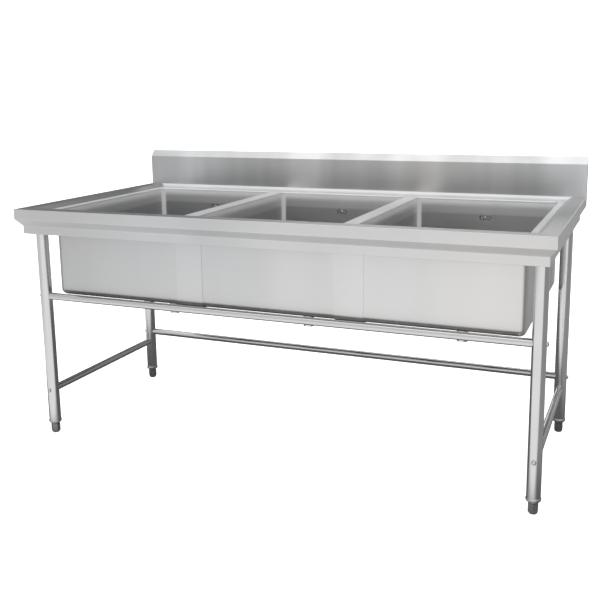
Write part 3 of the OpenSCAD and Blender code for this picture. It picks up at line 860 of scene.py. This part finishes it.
def rail_ends():
    """Leg axis, rail height and outward direction of every rail joint."""
    ends = []
    legs = {corner: middle(f"leg_{corner}") for corner in CORNERS}
    for row, rail in (("front", "front_rail"), ("rear", "rear_rail")):
        for side, sign in (("left", -1), ("right", 1)):
            leg = legs[f"{row}_{side}"]
            ends.append((Vector((leg.x, leg.y, middle(rail).z)), Vector((sign, 0, 0))))
    for side, rail in (("left", "left_rail"), ("right", "right_rail")):
        for row, sign in (("front", -1), ("rear", 1)):
            leg = legs[f"{row}_{side}"]
            ends.append((Vector((leg.x, leg.y, middle(rail).z)), Vector((0, sign, 0))))
    return ends


def make_rail_bolts():
    """Button-head bolts with a six-sided socket, through the legs into the rails."""
    seat, edge, reach = LEG_RADIUS - 0.8, LEG_RADIUS + 2.0, LEG_RADIUS + 23.0
    head, shank, socket = 7.0, 4.0, 2.4
    section = [
        (0.0, -reach), (shank - 0.4, -reach), (shank, 0.6 - reach), (shank, seat), (head, seat),
        (head, edge),
    ]
    for degrees in (12, 26, 40, 52, 62):
        angle = math.radians(degrees)
        section.append((head * math.cos(angle), edge + 4.2 * math.sin(angle)))
    crown = section[-1][1]
    shell = Shell()
    for origin, out in rail_ends():
        side = Vector((0, 0, 1)).cross(out)

        def ring(height, radius_at):
            row = []
            for angle in circle(48):
                r = radius_at(angle)
                spread = side * (r * math.cos(angle)) + Vector((0, 0, r * math.sin(angle)))
                row.append(origin + out * height + spread)
            return row

        rows = [ring(height, lambda angle: r) for r, height in section]
        for share, height in ((0.999, crown), (0.999, edge + 1.4), (0.0, edge + 0.8)):
            rows.append(ring(height, lambda angle: six_sided(socket, angle) * share))
        shell.rows(rows, closed=True)
    obj = shell.object("rail_bolt_heads", smooth=35.0)
    piece(obj, FASTENER, "fastener_steel", ROOT, "rail_bolts")


# ---- CAD nodes that keep their own shape ----

def finish_cad(names, material, bevel=0.3, smooth=32.0):
    for name in names:
        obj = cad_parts[name]
        obj.data.materials.clear()
        obj.data.materials.append(material)
        shade(obj, smooth)
        if bevel:
            soften(obj, bevel)


# ---- Studio ----

FLOOR_LIFT = 0.9       # glow that makes the paper white to the camera
FLOOR_FRONT = 1.10     # what the metal sees of the floor, by place
FLOOR_LEFT = 0.80
# Painted shadow: the glow the metal sees is dim under the sink.
FLOOR_UNDER_SHADOW = 0.14
FLOOR_RIGHT = 0.36
FLOOR_BEHIND = 0.45
WORLD_SEEN = 6.0       # backdrop as the camera sees it
WORLD_FRONT = 1.05     # what the metal sees of the studio, by direction
WORLD_LEFT = 0.80
WORLD_RIGHT = 0.38
WORLD_CORNER = 0.20
WORLD_BACK_LOW = 1.6
WORLD_BACK_HIGH = 0.12
WORLD_TOP = 1.8


def make_floor():
    """Pale paper. What the metal sees of it glows bright in front and left, and dim elsewhere,
    with a painted shadow under the sink.
    """
    size = 60.0
    corners = [(-size, -size, 0), (size, -size, 0), (size, size, 0), (-size, size, 0)]
    mesh = bpy.data.meshes.new("floor")
    mesh.from_pydata(corners, [], [(0, 1, 2, 3)])
    floor = bpy.data.objects.new("floor", mesh)
    bpy.context.scene.collection.objects.link(floor)
    material, nodes, shader = new_material("floor_paper")
    nodes.fill(shader, {
        "Base Color": grey(0.9),
        "Roughness": 0.9,
        "Emission Color": grey(1.0),
        "Emission Strength": FLOOR_LIFT,
    })
    place = nodes.add("ShaderNodeTexCoord").outputs["Object"]
    x, y, _ = nodes.add("ShaderNodeSeparateXYZ", {0: place}).outputs
    ahead = nodes.maths("MULTIPLY", nodes.maths("ADD", y, 0.30), -1.0)
    slant = nodes.maths("MULTIPLY", nodes.maths("SUBTRACT", x, 0.85), 0.9)
    beside = nodes.maths("SUBTRACT", ahead, slant)
    front = nodes.step(nodes.maths("MINIMUM", ahead, beside), 0.0, 0.33)
    left = nodes.step(nodes.maths("MULTIPLY", x, -1.0), 1.2, 1.8)
    bright = nodes.blend(nodes.step(x, -3.2, -0.6), FLOOR_LEFT, FLOOR_FRONT)
    dim = nodes.blend(nodes.step(x, 0.9, 1.4), FLOOR_UNDER_SHADOW, FLOOR_RIGHT)
    dim = nodes.blend(nodes.step(y, 0.8, 3.0), dim, FLOOR_BEHIND)
    level = nodes.blend(nodes.maths("MAXIMUM", front, left), dim, bright)
    glow = nodes.add("ShaderNodeEmission", {1: level}).outputs[0]
    seen = nodes.add("ShaderNodeLightPath").outputs["Is Camera Ray"]
    both = nodes.add("ShaderNodeMixShader", {0: seen, 1: glow, 2: shader.outputs[0]})
    output = next(n for n in nodes.tree.nodes if n.bl_idname == "ShaderNodeOutputMaterial")
    nodes.tree.links.new(both.outputs[0], output.inputs[0])
    mesh.materials.append(material)


def make_world():
    """Soft light: strong overhead, even in front, with darker places at the right and back."""
    world = bpy.data.worlds.new("studio")
    world.use_nodes = True
    tree = world.node_tree
    tree.nodes.clear()
    nodes = Nodes(tree)
    way = nodes.add("ShaderNodeTexCoord").outputs["Generated"]
    x, y, z = nodes.add("ShaderNodeSeparateXYZ", {0: way}).outputs
    back = nodes.blend(nodes.step(z, 0.22, 0.34), WORLD_BACK_LOW, WORLD_BACK_HIGH)
    back = nodes.blend(nodes.step(x, -0.52, -0.30), WORLD_CORNER, back)
    behind = nodes.blend(nodes.step(x, 0.12, 0.35), back, WORLD_RIGHT)
    rest = nodes.blend(nodes.step(y, -0.75, -0.15), WORLD_FRONT, behind)
    sides = nodes.blend(nodes.step(x, -0.95, -0.65), WORLD_LEFT, rest)
    level = nodes.blend(nodes.step(z, 0.62, 0.85), sides, WORLD_TOP)
    seen = nodes.add("ShaderNodeLightPath").outputs["Is Camera Ray"]
    strength = nodes.blend(seen, level, WORLD_SEEN)
    background = nodes.add("ShaderNodeBackground", {1: strength})
    output = nodes.add("ShaderNodeOutputWorld")
    tree.links.new(background.outputs[0], output.inputs[0])
    bpy.context.scene.world = world


CAMERA_AT = (1.1355, -2.7342, 1.2161)
CAMERA_YAW, CAMERA_PITCH, CAMERA_ROLL = 22.71, -10.74, -0.77  # degrees
CAMERA_LENS = 51.09
CAMERA_SHIFT = (-0.0081, -0.0797)


def make_camera():
    """The camera stands in front, to the right of the middle, and above the rim."""
    data = bpy.data.cameras.new("camera")
    data.sensor_width = 36.0
    data.lens = CAMERA_LENS
    data.shift_x, data.shift_y = CAMERA_SHIFT
    camera = bpy.data.objects.new("camera", data)
    yaw, pitch, roll = (math.radians(a) for a in (CAMERA_YAW, CAMERA_PITCH, CAMERA_ROLL))
    level = Matrix.Rotation(yaw, 4, "Z") @ Matrix.Rotation(math.pi / 2 + pitch, 4, "X")
    camera.matrix_world = Matrix.Translation(CAMERA_AT) @ level @ Matrix.Rotation(roll, 4, "Z")
    bpy.context.scene.collection.objects.link(camera)
    bpy.context.scene.camera = camera


# ---- The model ----

make_camera()
make_floor()
make_world()
make_top()
make_backsplash()
for bowl_side in SIDES:
    make_bowl(bowl_side)
    make_strainer(bowl_side)
    make_drain(bowl_side)
make_legs()
make_rails()
make_rail_bolts()
for foot_corner in CORNERS:
    make_foot(foot_corner)
    make_foot_insert(foot_corner)

finish_cad(["backsplash_end_left", "backsplash_end_right"], SHEET_Y)
finish_cad(["bowl_cover_left", "bowl_cover_right"], COVER, 0.25)
finish_cad(["front_channel", "rear_channel", "bowl_support_bar"], FRAME)
finish_cad(["left_channel", "right_channel"], FRAME)
finish_cad([f"leg_socket_{c}" for c in CORNERS] + ["rail_end_plugs"], SOCKET)
finish_cad(["socket_screws", "overflow_screws"], FASTENER, 0.0)
finish_cad([f"tailpiece_{s}" for s in SIDES], DRAIN)
finish_cad([f"overflow_plate_{s}" for s in SIDES], DRAIN, 0.2)
finish_cad(["drain_locknuts", "tailpiece_nuts"], DRAIN)
finish_cad(["drain_gaskets"], RUBBER)
finish_cad([f"overflow_elbow_{s}" for s in SIDES] + [f"overflow_pipe_{s}" for s in SIDES], PLASTIC)

bpy.context.scene.view_settings.view_transform = "Standard"
